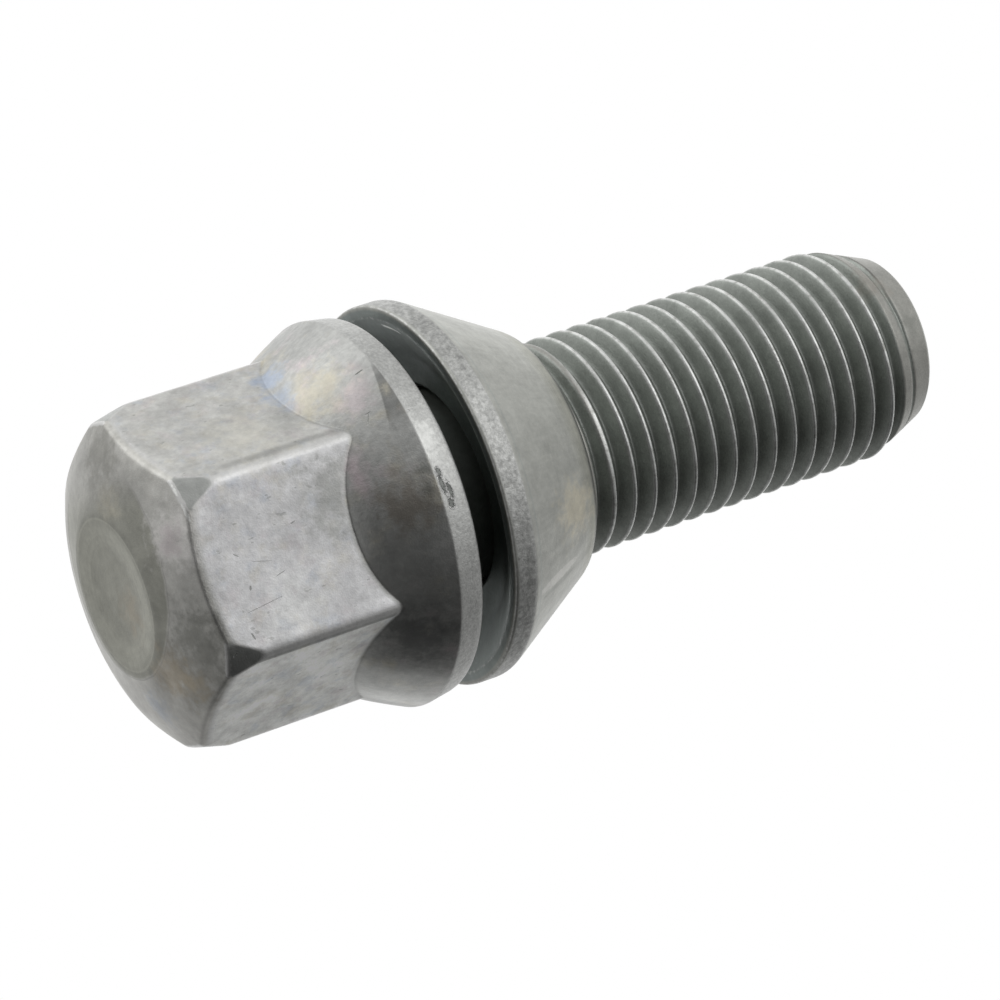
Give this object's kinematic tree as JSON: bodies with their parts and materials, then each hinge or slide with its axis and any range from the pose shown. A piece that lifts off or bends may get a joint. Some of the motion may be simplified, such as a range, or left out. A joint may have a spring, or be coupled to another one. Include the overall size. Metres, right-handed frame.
{
  "type": "wheel bolt",
  "caption": "Hexagon-head wheel bolt with a flared flange, a loose conical seat ring held on its neck, a fine male thread and a tapered tip.",
  "frame": {"origin": "centre of the end of the hexagon head, on the plane of its flat rim", "axes": "+Z along the bolt's axis towards the tip of the thread; +X through a corner of the hexagon, +Y through the middle of a flat"},
  "size_m": [0.0248, 0.0248, 0.0564],
  "materials": {
    "bolt": "satin grey zinc-flake coated steel, worn bright on the edges and crests",
    "collar": "satin grey zinc-flake coated steel"
  },
  "bodies": {
    "bolt": {"bolt": "bolt"},
    "collar": {"collar": "collar"}
  },
  "joints": [
    {"name": "collar_slide", "type": "slide", "parent": "bolt", "child": "collar", "axis": [0, 0, 1], "range_m": [-0.0021, 0]}
  ]
}
